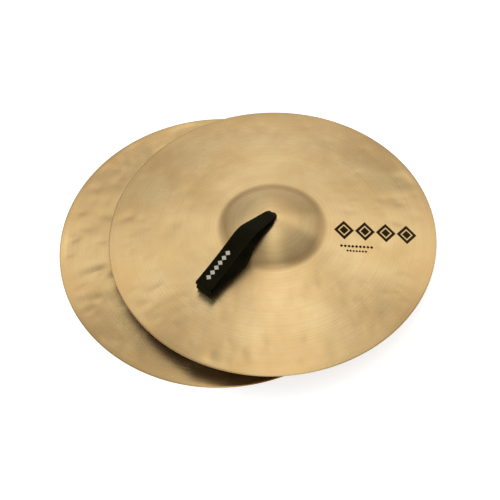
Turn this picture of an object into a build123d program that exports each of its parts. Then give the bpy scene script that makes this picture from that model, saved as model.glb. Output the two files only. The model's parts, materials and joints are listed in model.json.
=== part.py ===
"""A pair of 18 inch orchestral hand cymbals with their leather hand straps.

The lower cymbal lies on its rim. The upper one lies on top of it, offset to the right and tilted.
Frame: origin on the lower cymbal's axis in the plane of its rim, +X right, +Y back, +Z up.
"""
from build123d import *
from math import cos, radians, sin, sqrt, tan
import os

# Cymbal, millimetres and degrees
diameter = 457.2          # 18 inches
hole_diameter = 12.7
bell_radius = 77.0        # where the bell's flare runs out into the bow
bell_base_height = 24.4
dome_radius = 64.0        # where the round dome turns into the flare
bow_slope = 6.5           # slope of the bow beside the bell
flank_slope = 35.0        # steepest slope, between dome and flare
edge_thickness = 0.8
bell_thickness = 1.5
rim_land = 0.8            # width of the flat ring that the rim stands on

# Where the upper cymbal lies
upper_position = (72.6, -7.6, 33.5)
upper_tilt = (-2.38, -0.44, 0)

# Strap leather
leather = 2.6             # thickness
strap_width = 25.0
neck_width = 11.2
taper_length = 52.0
hinge_height = 52.7       # the loop flexes here, just above the hole
hinge_gap = 0.5
upper_strap_direction = 228.7
lower_strap_direction = -6.0

# Tails, tied in a flat crown knot against the inside of the bell
tail_width = 5.5
tail_thickness = 2.5
tail_offset = 5.0         # from the cymbal's axis to the middle of each tail
tail_level = 45.6         # middle of a tail where it lies next to the bell
tail_drop = 2.6           # from there to the level where it crosses its neighbour
tail_gap = 0.4            # clear of the neighbour at each end of the dip
tail_bend = 1.3           # radius at each end of the dip
tail_reach = 36.0
tail_end_height = 38.8
upper_tail_direction = 30.0
lower_tail_direction = 45.0

# Heights that follow from the bell's slopes
flare_slope = (bow_slope + flank_slope) / 2
dome_base_height = bell_base_height + tan(radians(flare_slope)) * (bell_radius - dome_radius)
apex_height = dome_base_height + tan(radians(flank_slope / 2)) * dome_radius
dome_sphere = dome_radius / sin(radians(flank_slope))
dome_centre = apex_height - dome_sphere


def dome_height(radius, sphere):
    """Height of a sphere about the dome's centre, at a distance from the axis."""
    return dome_centre + sqrt(sphere**2 - radius**2)


def below(radius, height, slope):
    """The point one bell thickness in from the outer surface, where that has the given slope."""
    angle = radians(slope)
    return (radius - bell_thickness * sin(angle), height - bell_thickness * cos(angle))


def downhill(slope):
    """Direction of a surface that falls outwards with the given slope."""
    return (cos(radians(slope)), -sin(radians(slope)))


def turned(place, direction):
    """A cymbal's own plane, turned about the cymbal's axis so that its X runs in a direction in degrees."""
    return Plane(place.location * Rotation(0, 0, direction))


def upright(place, direction):
    """The plane through a cymbal's axis that faces across a direction in degrees."""
    level = turned(place, direction)
    return Plane(origin=level.origin, x_dir=level.x_dir, z_dir=-level.y_dir)


def cymbal(place):
    """A spun and hammered disc with a raised bell: a thin profile turned about the axis."""
    outer_radius = diameter / 2
    hole_radius = hole_diameter / 2
    inner_sphere = dome_sphere - bell_thickness
    with BuildPart() as disc:
        with BuildSketch(upright(place, 0)):
            with BuildLine():
                hole_top = (hole_radius, dome_height(hole_radius, dome_sphere))
                dome_middle = (dome_radius / 2, dome_height(dome_radius / 2, dome_sphere))
                dome_end = (dome_radius, dome_base_height)
                bell_end = (bell_radius, bell_base_height)
                ThreePointArc(hole_top, dome_middle, dome_end)
                TangentArc(dome_end, bell_end, tangent=downhill(flank_slope))
                TangentArc(bell_end, (outer_radius, edge_thickness), tangent=downhill(bow_slope))
                inner_dome_end = below(*dome_end, flank_slope)
                inner_bell_end = below(*bell_end, bow_slope)
                rim_inside = (outer_radius - rim_land, 0)
                hole_bottom = (hole_radius, dome_height(hole_radius, inner_sphere))
                inner_middle = (dome_radius / 2, dome_height(dome_radius / 2, inner_sphere))
                Polyline((outer_radius, edge_thickness), (outer_radius, 0), rim_inside)
                TangentArc(inner_bell_end, rim_inside, tangent=downhill(bow_slope))
                TangentArc(inner_dome_end, inner_bell_end, tangent=downhill(flank_slope))
                ThreePointArc(inner_dome_end, inner_middle, hole_bottom)
                Line(hole_bottom, hole_top)
            make_face()
        revolve(axis=Axis(place.origin, place.z_dir))
    return disc


def strap_loop(place, direction, route, radii):
    """A leather band that leaves the hole, runs along its route and comes back to the hole."""
    neck = neck_width / 2
    full = strap_width / 2
    reach = max(point[0] for point in route) + strap_width
    with BuildPart() as loop:
        with BuildSketch(upright(place, direction)):
            with BuildLine() as band:
                FilletPolyline(*route, radius=radii)
            trace(line_width=leather)
            with Locations((0, hinge_height)):
                Circle(leather)
        extrude(amount=full, both=True)
        with BuildSketch(turned(place, direction)):
            with BuildLine():
                Polyline(
                    (-neck, -neck), (0, -neck), (taper_length, -full), (reach, -full),
                    (reach, full), (taper_length, full), (0, neck), (-neck, neck), close=True)
            make_face()
        extrude(amount=2 * hinge_height, mode=Mode.INTERSECT)
    print(f"strap loop length {sum(edge.length for edge in band.edges()):.0f} mm")
    return loop


def strap_neck(place, direction):
    """The two layers of the strap side by side, where they pass down through the hole."""
    top = hinge_height - leather - hinge_gap
    bottom = tail_level + tail_thickness / 2
    with BuildPart() as neck:
        with BuildSketch(turned(place, direction).offset(bottom)):
            RectangleRounded(2 * leather, neck_width, leather / 4)
        extrude(amount=top - bottom)
    return neck


def tail(place, direction):
    """One tail of the knot: it starts next to the bell, dips under its neighbour and runs outwards."""
    start = tail_offset + tail_width / 2
    ramp = tail_offset - tail_width / 2 - tail_gap
    lower_level = tail_level - tail_drop
    with BuildPart() as strip:
        with BuildSketch(upright(place, direction).offset(tail_offset)):
            with BuildLine():
                FilletPolyline(
                    (-start, tail_level), (-ramp, tail_level), (ramp, lower_level),
                    (tail_reach / 2, lower_level), (tail_reach, tail_end_height),
                    radius=[tail_bend, tail_bend, tail_reach / 4])
            trace(line_width=tail_thickness)
        extrude(amount=tail_width / 2, both=True)
    return strip


lower_place = Plane.XY
upper_place = Plane(Location(upper_position, upper_tilt))

# Loop routes: distance from the cymbal's axis and height above its rim, along the middle of the leather.
# Both lie on the bell and the bow, then fold back over themselves to the hole.
along_the_cymbal = [(0, hinge_height - leather / 2), (33, 49.6), (73, 28.2), (84, 25.8)]
lying_radii = [44, 16, 20]
upper_route = along_the_cymbal + [
    (141.8, 18.5), (141.8, 35.4), (51, 68.2), (24, 57.6), (0, hinge_height + leather / 2)]
upper_radii = lying_radii + [5.5, 3.5, 16, 30]
lower_route = along_the_cymbal + [
    (140.5, 18.6), (136.5, 58.6), (52, 66.5), (24, 57.6), (0, hinge_height + leather / 2)]
lower_radii = lying_radii + [12, 14, 30, 30]

cymbals = {
    "lower": (lower_place, lower_strap_direction, lower_route, lower_radii, lower_tail_direction),
    "upper": (upper_place, upper_strap_direction, upper_route, upper_radii, upper_tail_direction),
}
os.makedirs("parts", exist_ok=True)
for which, (place, strap_direction, route, radii, tail_direction) in cymbals.items():
    pieces = {
        f"{which}_cymbal": cymbal(place),
        f"{which}_strap_loop": strap_loop(place, strap_direction, route, radii),
        f"{which}_strap_neck": strap_neck(place, strap_direction),
    }
    for number in range(4):
        pieces[f"{which}_strap_tail_{number + 1}"] = tail(place, tail_direction + 90 * number)
    for name, piece in pieces.items():
        piece.part.label = name
        export_step(piece.part, f"parts/{name}.step")
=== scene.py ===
"""Looks for a pair of orchestral hand cymbals: hammered bronze discs and black leather hand straps."""

import json
import math

import bpy
import numpy as np
from mathutils import Matrix, Vector

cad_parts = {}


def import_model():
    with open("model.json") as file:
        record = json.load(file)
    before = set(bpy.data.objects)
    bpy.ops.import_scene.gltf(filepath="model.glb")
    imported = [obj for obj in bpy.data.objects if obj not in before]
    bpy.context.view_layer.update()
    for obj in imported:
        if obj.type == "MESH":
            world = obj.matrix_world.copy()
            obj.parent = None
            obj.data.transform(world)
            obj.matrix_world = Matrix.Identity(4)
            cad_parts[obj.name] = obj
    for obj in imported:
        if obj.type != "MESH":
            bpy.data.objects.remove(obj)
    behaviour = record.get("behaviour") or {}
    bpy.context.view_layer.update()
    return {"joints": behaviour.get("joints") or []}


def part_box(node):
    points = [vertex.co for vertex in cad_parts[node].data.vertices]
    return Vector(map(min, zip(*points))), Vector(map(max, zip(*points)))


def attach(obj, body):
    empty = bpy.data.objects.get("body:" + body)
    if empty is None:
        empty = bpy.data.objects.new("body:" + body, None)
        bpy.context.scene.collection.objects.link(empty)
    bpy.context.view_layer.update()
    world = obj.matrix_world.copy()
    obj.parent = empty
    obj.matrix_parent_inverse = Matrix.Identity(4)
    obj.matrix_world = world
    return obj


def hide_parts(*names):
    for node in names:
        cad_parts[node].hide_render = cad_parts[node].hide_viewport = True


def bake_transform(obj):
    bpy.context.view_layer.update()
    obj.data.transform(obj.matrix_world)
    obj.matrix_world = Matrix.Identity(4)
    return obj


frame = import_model()
joints = {joint["name"]: joint for joint in frame["joints"]}
MM = 0.001

# ---------------------------------------------------------------- sizes in millimetres, slopes in radians
RADIUS = (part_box("lower_cymbal")[1].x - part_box("lower_cymbal")[0].x) / 2 / MM
HOLE = 6.35               # radius of the hole
BELL = 77.0               # radius where the bell's flare meets the bow
BELL_BASE = 24.4          # height of the outer surface there
DOME = 64.0               # radius where the dome meets the flare
BOW_SLOPE = math.radians(6.5)
FLANK_SLOPE = math.radians(35)
EDGE = 0.8                # thickness at the rim
BELL_THICKNESS = 1.5
# What follows from those: the height where dome and flare meet, the dome's top, and the radii of both arcs.
DOME_BASE = BELL_BASE + math.tan((BOW_SLOPE + FLANK_SLOPE) / 2) * (BELL - DOME)
APEX = DOME_BASE + math.tan(FLANK_SLOPE / 2) * DOME
SPHERE = DOME / math.sin(FLANK_SLOPE)
FLARE = math.hypot(BELL - DOME, DOME_BASE - BELL_BASE) / 2 / math.sin((FLANK_SLOPE - BOW_SLOPE) / 2)
LEATHER = 2.6             # thickness of the straps
THONG = 2.5               # thickness of the knots' tails

SEGMENTS = 512            # points round each ring of a cymbal's mesh
STRAP_STEP = 1.5          # distance between the sections of a strap's mesh
THONG_STEP = 0.8


# ---------------------------------------------------------------- shared helpers
def own_frame(centre, axis, x_direction):
    """The matrix of a cymbal's own frame: origin in its rim plane, Z along its axis."""
    z = Vector(axis).normalized()
    y = z.cross(Vector(x_direction)).normalized()
    x = y.cross(z)
    return Matrix.Translation(Vector(centre)) @ Matrix((x, y, z)).transposed().to_4x4()


def new_mesh(name, points, faces, place):
    """A smooth mesh object from points in millimetres, placed by a matrix."""
    mesh = bpy.data.meshes.new(name)
    mesh.from_pydata((np.asarray(points) * MM).tolist(), [], faces)
    mesh.shade_smooth()
    piece = bpy.data.objects.new(name, mesh)
    bpy.context.scene.collection.objects.link(piece)
    piece.matrix_world = place
    return piece


def ring_faces(rows, columns, close_rows):
    """Quads between the points of a grid that was numbered row by row, where each row is a closed ring."""
    faces = []
    for row in range(rows if close_rows else rows - 1):
        below = (row + 1) % rows
        for column in range(columns):
            right = (column + 1) % columns
            faces.append((row * columns + column, below * columns + column,
                          below * columns + right, row * columns + right))
    return faces


class Nodes:
    """Short calls for building the node tree of a material or of the world."""

    def __init__(self, owner, shader="Principled BSDF"):
        owner.use_nodes = True
        self.owner = owner
        self.tree = owner.node_tree
        self.shader = self.tree.nodes[shader]

    def add(self, kind, inputs=(), **settings):
        """A new node, with inputs given by name or number."""
        node = self.tree.nodes.new("ShaderNode" + kind)
        for key, value in settings.items():
            setattr(node, key, value)
        for key, value in dict(inputs).items():
            self.put(node.inputs[key], value)
        return node

    def put(self, socket, value):
        """Sets a socket's own value, or links it if the value is another node's output."""
        if isinstance(value, bpy.types.NodeSocket):
            self.tree.links.new(value, socket)
        else:
            socket.default_value = value

    def math(self, operation, *values):
        node = self.add("Math", operation=operation)
        for socket, value in zip(node.inputs, values):
            self.put(socket, value)
        return node.outputs[0]

    def dot(self, vector, direction):
        return self.add("VectorMath", {0: vector, 1: direction}, operation="DOT_PRODUCT").outputs["Value"]

    def ramp(self, value, low, high, start=0.0, end=1.0):
        """Value from low..high mapped smoothly to start..end."""
        inputs = {"Value": value, "From Min": low, "From Max": high, "To Min": start, "To Max": end}
        return self.add("MapRange", inputs, interpolation_type="SMOOTHSTEP").outputs[0]

    def mix(self, factor, first, second):
        """The first colour, covered by the second as far as the factor says."""
        node = self.add("Mix", data_type="RGBA")
        self.put(node.inputs[0], factor)
        self.put(node.inputs[6], first)
        self.put(node.inputs[7], second)
        return node.outputs[2]

    def noise(self, vector, scale, detail=2.0, roughness=0.5, dimensions="3D"):
        inputs = {"Scale": scale, "Detail": detail, "Roughness": roughness}
        node = self.add("TexNoise", inputs, noise_dimensions=dimensions)
        self.put(node.inputs["W" if dimensions == "1D" else "Vector"], vector)
        return node.outputs["Fac"]

    def bump(self, height, distance, strength, normal=None):
        node = self.add("Bump", {"Height": height, "Distance": distance, "Strength": strength})
        if normal is not None:
            self.put(node.inputs["Normal"], normal)
        return node.outputs["Normal"]

    def surface(self, **values):
        """Sets the shader's sockets: Base_Color=... and so on."""
        for key, value in values.items():
            self.put(self.shader.inputs[key.replace("_", " ")], value)


def lozenges(n, parts, middle, half_length, half_height, span):
    """Level lines of a row of lozenges on a flat place: 0 at each one's middle, 1 on its outline.

    Also gives the cover that ends the row: 1 within span each way from its middle, 0 beyond.
    """
    x = n.math("SUBTRACT", parts[0], middle[0])
    y = n.math("SUBTRACT", parts[1], middle[1])
    along = n.math("DIVIDE", n.math("PINGPONG", n.math("ADD", x, span), half_length), half_length)
    away = n.math("DIVIDE", n.math("ABSOLUTE", y), half_height)
    level = n.math("ADD", n.math("SUBTRACT", 1.0, along), away)
    return level, n.math("LESS_THAN", n.math("ABSOLUTE", x), span)


# ---------------------------------------------------------------- cymbals
def outer_height(radius):
    """Height of the outer surface above the rim plane."""
    radius = np.asarray(radius, float)
    dome = APEX - SPHERE + np.sqrt(np.maximum(SPHERE**2 - radius**2, 0))
    flare_centre = (BELL + FLARE * math.sin(BOW_SLOPE), BELL_BASE + FLARE * math.cos(BOW_SLOPE))
    flare = flare_centre[1] - np.sqrt(np.maximum(FLARE**2 - (radius - flare_centre[0])**2, 0))
    run, drop = RADIUS - BELL, BELL_BASE - EDGE
    bow_radius = math.hypot(run, drop) / 2 / math.sin(math.atan2(drop, run) - BOW_SLOPE)
    bow_centre = (BELL - bow_radius * math.sin(BOW_SLOPE), BELL_BASE - bow_radius * math.cos(BOW_SLOPE))
    bow = bow_centre[1] + np.sqrt(bow_radius**2 - (radius - bow_centre[0])**2)
    return np.where(radius < DOME, dome, np.where(radius < BELL, flare, bow))


def thickness(radius):
    """Thickness measured upright: even over the bell, thinning to the edge."""
    slope = np.gradient(outer_height(radius), radius)
    even = np.interp(radius, [BELL, RADIUS], [BELL_THICKNESS, EDGE])
    return even * np.sqrt(1 + slope**2)


def cymbal_profile():
    """The closed outline of the section: top from the hole outwards, rim, underside back, hole."""
    hole_edge = 0.4
    flare_end = BELL + 4
    top = np.concatenate([
        np.linspace(HOLE + hole_edge, DOME, 32, endpoint=False),
        np.linspace(DOME, flare_end, 16, endpoint=False),
        np.linspace(flare_end, RADIUS - 0.5, 72)])
    under = np.concatenate([
        np.linspace(RADIUS - 1.2, flare_end, 38, endpoint=False),
        np.linspace(flare_end, DOME, 10, endpoint=False),
        np.linspace(DOME, HOLE + hole_edge, 16)])
    top_height = outer_height(top)
    under_height = outer_height(under[::-1]) - thickness(under[::-1])
    under_height = np.maximum(under_height[::-1], 0)
    rim = [(RADIUS - 0.15, 0.68), (RADIUS, 0.42), (RADIUS - 0.12, 0.14), (RADIUS - 0.5, 0)]
    hole_top = float(outer_height(HOLE))
    hole = [(HOLE, hole_top - BELL_THICKNESS + 0.35), (HOLE, hole_top - 0.35)]
    return np.concatenate([np.c_[top, top_height], rim, np.c_[under, under_height], hole])


def hammer_marks(x, y, seed, width, slope):
    """Depth in millimetres of the hammer marks and the slow waves they leave in the bow.

    Width and slope make the marks wider and their sides steeper.
    """
    count = 460
    smallest, largest = 3.5, 10.5
    random = np.random.default_rng(seed)
    depth = np.zeros_like(x)
    radius = np.hypot(x, y)
    turn = np.arctan2(y, x)
    for _ in range(count):
        mark_radius = math.sqrt(random.uniform((BELL + 16)**2, (RADIUS - 12)**2))
        mark_turn = random.uniform(-math.pi, math.pi)
        size = width * (smallest + (largest - smallest) * random.random()**1.6)
        deep = random.uniform(0.015, 0.055) * size * slope
        along = (radius - mark_radius) / (size * random.uniform(1.0, 1.9))
        across = mark_radius * np.angle(np.exp(1j * (turn - mark_turn))) / size
        depth += deep * np.exp(-(along**2 + across**2))
    for lobes in range(2, 13):
        swing = random.uniform(0.03, 0.10) * np.sin(lobes * turn + random.uniform(0, 2 * math.pi))
        depth += swing * np.sin(radius / RADIUS * random.uniform(2, 7) + random.uniform(0, 2 * math.pi))
    fade = np.clip((radius - BELL - 4) / 14, 0, 1) * np.clip((RADIUS - 1.5 - radius) / 8, 0, 1)
    return depth * fade


def cymbal(name, place, marks, outside, inside, body):
    """A thin disc turned about its axis, with the hammer marks pressed through its whole thickness."""
    profile = cymbal_profile()
    turns = np.linspace(0, 2 * math.pi, SEGMENTS, endpoint=False)
    x = profile[:, :1] * np.cos(turns)
    y = profile[:, :1] * np.sin(turns)
    z = np.repeat(profile[:, 1:], SEGMENTS, axis=1) - hammer_marks(x, y, **marks)
    points = np.stack([x, y, z], axis=2).reshape(-1, 3)
    piece = new_mesh(name + "_bronze", points, ring_faces(len(profile), SEGMENTS, close_rows=True), place)
    piece.data.materials.append(outside)
    piece.data.materials.append(inside)
    in_under = (np.arange(len(profile)) >= np.argmax(profile[:, 0])).astype(int)
    piece.data.polygons.foreach_set("material_index", np.repeat(in_under, SEGMENTS))
    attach(piece, body)
    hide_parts(name)


def ornament(n, parts):
    """Ink cover of a row of four nested lozenges over two rows of tiny ones, in the cymbal's own X and Y."""
    edge = 0.03
    level, inside = lozenges(n, parts, (0.143, -0.005), half_length=0.0145, half_height=0.0165, span=0.058)
    frame_outside = n.ramp(level, 0.96 - edge, 0.96 + edge, 1, 0)
    frame_inside = n.ramp(level, 0.56, 0.56 + 2 * edge)
    core = n.ramp(level, 0.44 - edge, 0.44 + edge, 1, 0)
    nested = n.math("MAXIMUM", n.math("MULTIPLY", frame_outside, frame_inside), core)
    cover = n.math("MULTIPLY", inside, nested)
    for height, half_length, count in ((-0.0315, 0.0026, 9), (-0.0390, 0.0021, 7)):
        level, inside = lozenges(
            n, parts, (0.116, height), half_length, half_height=1.1 * half_length, span=count * half_length)
        cover = n.math("MAXIMUM", cover, n.math("MULTIPLY", inside, n.ramp(level, 0.85, 1.0, 1, 0)))
    return cover


def bronze(name, seed, marked=False, shade=1.0):
    """Raw cymbal bronze: lathe grooves around the axis, faint blotches, painted shade in a dark ring over
    the bell's flare, and an inked ornament if marked.

    The seed moves the pattern, and a shade under 1 darkens the whole metal as painted shade. Places are in
    metres.
    """
    n = Nodes(bpy.data.materials.new(name))
    place = n.add("TexCoord").outputs["Object"]
    parts = n.add("SeparateXYZ", {"Vector": place}).outputs
    radius = n.math("SQRT", n.math("ADD", n.math("MULTIPLY", parts[0], parts[0]),
                                   n.math("MULTIPLY", parts[1], parts[1])))
    shifted = n.math("ADD", radius, seed * 0.37)
    fine_rings = n.noise(shifted, 1400, detail=3, dimensions="1D")
    wide_rings = n.noise(shifted, 230, detail=2, dimensions="1D")
    offset = n.add("VectorMath", {0: place, 1: (seed * 1.7, seed * 0.9, 0)}, operation="ADD").outputs[0]
    blotches = n.noise(offset, 14, detail=5, roughness=0.55)
    clouds = n.noise(offset, 6, detail=3)

    def tone(red, green, blue):
        return (red * shade, green * shade, blue * shade, 1)

    brown_gold = tone(0.575, 0.395, 0.181)
    pale_gold = tone(0.655, 0.480, 0.240)
    ring_brown = tone(0.53, 0.35, 0.15)
    groove_brown = tone(0.51, 0.335, 0.14)
    rim_orange = tone(0.60, 0.375, 0.150)
    flare_painted_shade = tone(0.38, 0.235, 0.10)
    ink_brown = (0.028, 0.017, 0.006, 1)

    colour = n.mix(n.ramp(blotches, 0.35, 0.68), brown_gold, pale_gold)
    ring_cover = n.math("MULTIPLY", n.ramp(wide_rings, 0.42, 0.62), n.ramp(radius, 0.06, 0.10, 0.30, 0.20))
    colour = n.mix(ring_cover, colour, ring_brown)
    colour = n.mix(n.ramp(fine_rings, 0.35, 0.60, 0.22, 0), colour, groove_brown)
    colour = n.mix(n.ramp(radius, 0.17, 0.228, 0, 0.35), colour, rim_orange)
    # Painted shade: a darker ring over the bell's flare, standing in for the dim reflection on that curve.
    flare_shade_cover = n.math("MULTIPLY", n.ramp(radius, 0.055, 0.067), n.ramp(radius, 0.071, 0.079, 1, 0))
    colour = n.mix(n.math("MULTIPLY", flare_shade_cover, 0.45), colour, flare_painted_shade)

    groove_roughness = n.ramp(fine_rings, 0.3, 0.7, 0.26, 0.33)
    cloud_roughness = n.ramp(clouds, 0.35, 0.65, -0.02, 0.04)
    polish = n.ramp(radius, 0.11, 0.18, 0, -0.07)
    roughness = n.math("ADD", n.math("ADD", groove_roughness, cloud_roughness), polish)
    if marked:
        ink = ornament(n, parts)
        colour = n.mix(ink, colour, ink_brown)
        roughness = n.math("ADD", roughness, n.math("MULTIPLY", ink, 0.25))
    n.surface(Base_Color=colour, Metallic=1.0, Roughness=roughness)
    n.surface(Anisotropic=0.85, Anisotropic_Rotation=0.25)
    n.surface(Tangent=n.add("Tangent", direction_type="RADIAL", axis="Z").outputs[0])
    normal = n.bump(fine_rings, 0.00003, 0.5)
    normal = n.bump(wide_rings, 0.00006, 0.5, normal)
    n.surface(Normal=normal)
    return n.owner


# ---------------------------------------------------------------- straps
def smooth_path(points, step):
    """A smooth line through points with any number of values each, sampled about every step millimetres."""
    points = np.asarray(points, float)
    padded = np.vstack([2 * points[0] - points[1], points, 2 * points[-1] - points[-2]])
    samples = []
    for before, start, end, after in zip(padded, padded[1:], padded[2:], padded[3:]):
        count = max(2, int(np.linalg.norm((end - start)[:3]) / step))
        t = np.linspace(0, 1, count, endpoint=False)[:, None]
        samples.append(0.5 * (2 * start + (end - before) * t
                              + (2 * before - 5 * start + 4 * end - after) * t**2
                              + (3 * start - before - 3 * end + after) * t**3))
    return np.vstack(samples + [points[-1:]])


def distances_along(line):
    """How far along a line of points each of them is."""
    return np.concatenate([[0], np.cumsum(np.linalg.norm(np.diff(line, axis=0), axis=1))])


def band_section():
    """The outline of a strip's section, in shares of its half width and half thickness.

    Both faces have a shallow groove beside each rounded edge.
    """
    section = []
    for face in (1, -1):
        for share in np.linspace(-1, 1, 15) * face:
            edge = max(0, abs(share) - 0.84) / 0.16
            groove = 0.10 * math.exp(-((abs(share) - 0.80) / 0.035)**2)
            section.append((share, face * (1 - groove - 0.55 * edge**2)))
    return section


def band(name, path, place, half_thickness, mark=0.0):
    """A leather strip along a path of (x, y, z, half width, roll in degrees), flat across the Y direction.

    Its points carry the attribute "strip": metres along from the mark, metres across, and 1 on the face
    that looks out of the loop or -1 on the other, nearer to 0 where the edges are rounded off.
    """
    side = np.array((0.0, 1.0, 0.0))
    centre, half_width, roll = path[:, :3], path[:, 3], np.radians(path[:, 4])
    along = np.gradient(centre, axis=0)
    along /= np.linalg.norm(along, axis=1)[:, None]
    across = side - (along @ side)[:, None] * along
    across /= np.linalg.norm(across, axis=1)[:, None]
    out = np.cross(along, across)
    across, out = (np.cos(roll)[:, None] * across + np.sin(roll)[:, None] * out,
                   np.cos(roll)[:, None] * out - np.sin(roll)[:, None] * across)
    travelled = distances_along(centre) - mark
    rows, marks = [], []
    for width_share, thickness_share in band_section():
        inset = 0.3 * (abs(width_share) > 0.999)
        sideways = width_share * (half_width - inset)
        rows.append(centre + across * sideways[:, None] + out * thickness_share * half_thickness)
        marks.append(np.c_[travelled * MM, sideways * MM, np.full(len(centre), -thickness_share)])
    points = np.stack(rows, axis=1)
    count, around = points.shape[:2]
    faces = ring_faces(count, around, close_rows=False)
    faces.append(tuple(reversed(range(around))))
    faces.append(tuple(range((count - 1) * around, count * around)))
    piece = new_mesh(name, points.reshape(-1, 3), faces, place)
    strip = piece.data.attributes.new("strip", "FLOAT_VECTOR", "POINT")
    strip.data.foreach_set("vector", np.stack(marks, axis=1).reshape(-1))
    return piece


def leather(name, marked):
    """Black dyed hide: fine grain, soft creases, browner cut edges, and a row of pale lozenges if marked."""
    n = Nodes(bpy.data.materials.new(name))
    place = n.add("TexCoord").outputs["Object"]
    strip = n.add("SeparateXYZ", {0: n.add("Attribute", attribute_name="strip").outputs["Vector"]}).outputs
    cells = {"Vector": place, "Scale": 900.0}
    pores = n.add("TexVoronoi", cells, feature="DISTANCE_TO_EDGE").outputs["Distance"]
    grain = n.noise(place, 420, detail=4)
    creases = n.noise(place, 60, detail=3)
    deep_black = (0.0020, 0.0018, 0.0006, 1)
    faded_black = (0.0055, 0.0048, 0.0016, 1)
    cut_brown = (0.020, 0.013, 0.007, 1)
    ivory = (0.60, 0.56, 0.45, 1)

    colour = n.mix(n.ramp(creases, 0.35, 0.7), deep_black, faded_black)
    cut = n.ramp(n.math("ABSOLUTE", strip[2]), 0.25, 0.75, 1, 0)
    colour = n.mix(n.math("MULTIPLY", cut, n.ramp(grain, 0.3, 0.7, 0.5, 1)), colour, cut_brown)
    if marked:
        level, inside = lozenges(n, strip, (0, -0.0012), half_length=0.0042, half_height=0.0046, span=0.0252)
        printed = n.math("MULTIPLY", n.ramp(level, 0.86, 0.96, 1, 0), inside)
        outer_face = n.math("GREATER_THAN", strip[2], 0.0)
        worn = n.ramp(grain, 0.28, 0.42, 0.75, 1)
        ink = n.math("MULTIPLY", printed, n.math("MULTIPLY", outer_face, worn))
        colour = n.mix(ink, colour, ivory)
    n.surface(Base_Color=colour, Roughness=n.ramp(grain, 0.3, 0.7, 0.55, 0.72))
    n.surface(Specular_IOR_Level=0.10, Specular_Tint=(1, 0.9, 0.4, 1))
    normal = n.bump(n.ramp(pores, 0, 0.35), 0.00012, 0.5)
    normal = n.bump(creases, 0.0006, 0.3, normal)
    n.surface(Normal=normal)
    return n.owner


# Each strap: distance from the axis along the strap, sideways, height above the rim plane, half width, roll.
UPPER_STRAP = [
    (1.4, 0, 45, 5.4, 0), (1.5, 0, 49.4, 5.4, 0), (3.4, 1.0, 51.9, 6.7, 0), (11, 2.6, 51.6, 9.4, 0),
    (24, 2.4, 49.3, 10.4, 0), (38, 1.2, 45.0, 11.4, 0), (53, 0.8, 38.2, 12.2, 0), (67, 2.5, 31.2, 12.5, 0),
    (78, 4.6, 27.4, 12.6, 0), (91, 4.6, 25.3, 12.6, 0), (107, 2.4, 23.2, 12.6, 0), (121, 0.6, 21.3, 12.6, 0),
    (133, 0, 19.8, 12.6, 0), (139.4, -0.5, 19.4, 12.6, 0), (141.2, -0.6, 21.6, 12.6, 0),
    (139.6, -0.4, 26.6, 12.5, 0), (142.2, 0, 32.6, 12.6, 0), (141.6, -0.2, 35.6, 12.7, 0),
    (137, 0, 37.0, 12.7, 0), (120, 0, 42.4, 12.6, 0), (99, 0, 50.0, 12.5, 0), (77, 0, 58.6, 12.4, 4),
    (61, 0.2, 65.4, 12.2, 9), (51, 0.2, 66.8, 12.0, 7), (42, 0, 65.2, 11.5, 3), (28, 0, 61.6, 10.6, 0),
    (14, 0.1, 58.2, 9.5, 0), (4, 0.6, 56.4, 8.4, 0), (-1.2, 0.8, 53.8, 7.2, 0), (-1.7, 0.3, 50.5, 5.8, 0),
    (-1.4, 0, 45, 5.5, 0)]
LOWER_STRAP = [
    (1.4, 0, 45, 5.5, 0), (1.5, 0, 49.5, 5.6, 0), (4.0, 0, 51.7, 7.4, 0), (12, 0, 51.3, 8.6, 0),
    (24, 0, 49.3, 9.8, 0), (38, 0, 45.0, 11.2, 0), (53, 0, 38.2, 12, 0), (67, 0, 31.2, 12.4, 0),
    (80, 0, 27.0, 12.5, 0), (105, 0, 23.4, 12.5, 0), (126, 0, 20.8, 12.5, 0), (137, 0, 23.5, 12.5, 0),
    (140.5, 0, 34, 12.5, 0), (138.5, 0, 47, 12.5, 0), (131, 0, 56.3, 12.5, 0), (117, 0, 59.6, 12.5, 0),
    (95, 0, 62.4, 12.5, 0), (70, 0, 64.4, 12.3, 0), (52, 0, 65.2, 11.8, 0), (38, 0, 62.4, 10.6, 0),
    (24, 0, 58.2, 8.8, 0), (12, 0, 55.5, 7.4, 0), (3, 0, 54.2, 6.6, 0), (-1.5, 0, 52.4, 5.8, 0),
    (-1.5, 0, 49.5, 5.6, 0), (-1.4, 0, 45, 5.5, 0)]
LAYERS_APART = 32.0        # beyond the bell, only the strap's upper layer is higher than this
MARK_FROM_AXIS = 108.0     # where the pale lozenges are, along the strap's upper layer

# One tail of the knot, along its own direction: it comes from above, dips under its neighbour and hangs
# outwards. The values are the same as a strap's.
TAIL = [
    (-8.3, 5, 46.1, 2.4, 0), (-5.5, 5, 45.9, 2.7, 0), (-2.7, 5, 45.5, 2.75, 0), (0, 5, 44.3, 2.75, 0),
    (2.7, 5, 43.1, 2.75, 0), (5.5, 5, 42.9, 2.75, 0), (12, 5.1, 42.8, 2.75, 0), (19, 5.4, 42.2, 2.75, 3),
    (27, 5.9, 41.0, 2.75, 7), (33, 6.6, 39.6, 2.6, 10), (36.4, 7.1, 38.6, 1.7, 12)]


def strap_turn(place, hinge):
    """The turn of a cymbal's own frame that brings X along its strap."""
    side = place.to_3x3().inverted() @ Vector(hinge["axis"])
    along = Vector((0, 0, 1)).cross(side)
    return Matrix.Rotation(math.atan2(along.y, along.x), 4, "Z")


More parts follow.
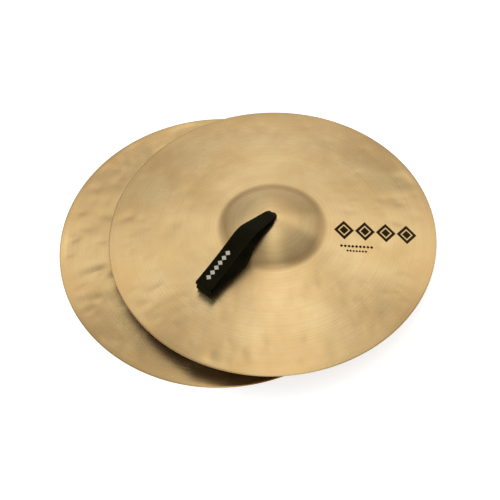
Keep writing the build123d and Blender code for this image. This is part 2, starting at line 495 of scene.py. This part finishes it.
def strap(which, place, turn, route, material):
    """The loop and neck of one strap, bending between the knot in the hole and the loose loop."""
    path = smooth_path(route, STRAP_STEP)
    turned = place @ turn
    travelled = distances_along(path[:, :3])
    above = path[:, 2] > LAYERS_APART
    mark = travelled[above][np.argmin(np.abs(path[above, 0] - MARK_FROM_AXIS))]
    piece = band(which + "_strap_leather", path, turned, LEATHER / 2, mark)
    piece.data.materials.append(material)
    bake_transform(piece)
    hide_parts(which + "_strap_loop", which + "_strap_neck")


def tails(which, place, direction, body, material):
    """The four ends of the strap, tied in a flat crown knot against the inside of the bell."""
    for number in range(4):
        turn = Matrix.Rotation(math.radians(direction + 90 * number), 4, "Z")
        piece = band(f"{which}_thong_{number + 1}", smooth_path(TAIL, THONG_STEP), place @ turn, THONG / 2)
        piece.data.materials.append(material)
        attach(piece, body)
        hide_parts(f"{which}_strap_tail_{number + 1}")


# ---------------------------------------------------------------- studio
def pale_floor(half):
    """A plain square floor that reaches half each way."""
    mesh = bpy.data.meshes.new("floor")
    corners = [(-half, -half, 0), (half, -half, 0), (half, half, 0), (-half, half, 0)]
    mesh.from_pydata(corners, [], [(0, 1, 2, 3)])
    floor = bpy.data.objects.new("floor", mesh)
    bpy.context.scene.collection.objects.link(floor)
    n = Nodes(bpy.data.materials.new("pale_floor"))
    n.surface(Base_Color=(0.92, 0.92, 0.92, 1), Roughness=0.9)
    n.surface(Emission_Color=(1, 1, 1, 1), Emission_Strength=0.6)
    mesh.materials.append(n.owner)


def area_light(name, position, aim, size, power):
    """A soft rectangular light that looks at the place it is aimed at."""
    light = bpy.data.lights.new(name, "AREA")
    light.shape = "RECTANGLE"
    light.size, light.size_y = size
    light.energy = power
    lamp = bpy.data.objects.new(name, light)
    bpy.context.scene.collection.objects.link(lamp)
    lamp.location = position
    lamp.rotation_euler = (Vector(aim) - Vector(position)).to_track_quat("-Z", "Y").to_euler()


def world(towards, roll, dim, bright, ridge, fill):
    """Soft light from all round: brightest in one direction, with a ridge of light each way through it.

    The cross of ridges is rolled by some degrees about that direction, and is brighter overhead. The side
    that the direction turns its back to has a band of light of its own, low above the horizon.
    """
    background = bpy.data.worlds.new("studio")
    bpy.context.scene.world = background
    n = Nodes(background, "Background")
    view = n.add("TexCoord").outputs["Generated"]
    middle = Vector(towards).normalized()
    sideways = Matrix.Rotation(math.radians(roll), 3, middle) @ Vector((0, 0, 1)).cross(middle).normalized()
    upwards = middle.cross(sideways)
    facing = n.dot(view, middle)
    cap = n.ramp(facing, math.cos(math.radians(62)), math.cos(math.radians(18)), dim, bright)
    ridges = n.math("MAXIMUM", *[
        n.ramp(n.math("ABSOLUTE", n.dot(view, across)), 0.06, 0.30, 1, 0) for across in (sideways, upwards)])
    height = n.dot(view, (0, 0, 1))
    reach = n.ramp(facing, math.cos(math.radians(85)), math.cos(math.radians(45)), 0, ridge)
    reach = n.math("MULTIPLY", reach, n.ramp(height, 0.1, 1.0, 0.1, 1.2))
    low_band = n.math("MULTIPLY", n.ramp(height, 0.08, 0.30), n.ramp(height, 0.50, 0.75, 1, 0))
    behind = n.ramp(n.dot(view, (middle.x, middle.y, 0)), -0.35, 0.15, fill, 0)
    n.surface(Color=(1, 1, 1, 1))
    n.surface(Strength=n.math("MULTIPLY_ADD", low_band, behind, n.math("MULTIPLY_ADD", ridges, reach, cap)))


def camera(position, z_axis, x_axis, lens, shift):
    """The camera of the main view: it looks against its Z axis, with its X axis to the right."""
    data = bpy.data.cameras.new("camera")
    data.lens = lens
    data.sensor_width = 36
    data.clip_end = 50
    data.shift_x, data.shift_y = shift
    viewer = bpy.data.objects.new("camera", data)
    bpy.context.scene.collection.objects.link(viewer)
    z = Vector(z_axis).normalized()
    y = z.cross(Vector(x_axis)).normalized()
    viewer.matrix_world = Matrix.Translation(position) @ Matrix((y.cross(z), y, z)).transposed().to_4x4()
    bpy.context.scene.camera = viewer


# ---------------------------------------------------------------- the pair
swivel = joints["upper_strap_swivel"]
lower_place = Matrix.Identity(4)
upper_place = own_frame(swivel["pos_m"], swivel["axis"], (1, 0, 0))

UNDERSIDE_PAINTED_SHADE = 0.55        # painted shade: the undersides are darkened to deepen the dark gap between the two cymbals
cymbal("lower_cymbal", lower_place, {"seed": 5, "width": 1.35, "slope": 1.3},
       bronze("lower_bronze", 1.0),
       bronze("lower_inside", 3.0, shade=UNDERSIDE_PAINTED_SHADE), "lower_cymbal")
cymbal("upper_cymbal", upper_place, {"seed": 11, "width": 1.0, "slope": 0.65},
       bronze("upper_bronze", 2.0, marked=True),
       bronze("upper_inside", 4.0, shade=UNDERSIDE_PAINTED_SHADE), "upper_cymbal")

plain_leather = leather("plain_leather", marked=False)
marked_leather = leather("marked_leather", marked=True)
strap("lower", lower_place, strap_turn(lower_place, joints["lower_strap_tilt"]), LOWER_STRAP,
      marked_leather)
strap("upper", upper_place, strap_turn(upper_place, joints["upper_strap_tilt"]), UPPER_STRAP,
      marked_leather)
tails("lower", lower_place, 45, "lower_cymbal", plain_leather)
tails("upper", upper_place, 30, "upper_knot", plain_leather)

pale_floor(half=40.0)
world(towards=(0, 0.616, 0.788), roll=3, dim=0.32, bright=0.60, ridge=0.62, fill=0.75)
area_light("overhead", position=(0.1, 1.5, 2.2), aim=(0.05, 0, 0), size=(1.4, 1.4), power=3)
area_light("right", position=(1.95, 1.39, 0.75), aim=(0.07, 0, 0.03), size=(1.3, 1.0), power=1.6)
camera(position=(0.0728, -1.3583, 2.0236), z_axis=(0.0128, -0.5553, 0.8316), x_axis=(0.9999, 0, -0.0154),
       lens=124.0, shift=(-0.001, 0.001))
bpy.context.scene.view_settings.view_transform = "Standard"
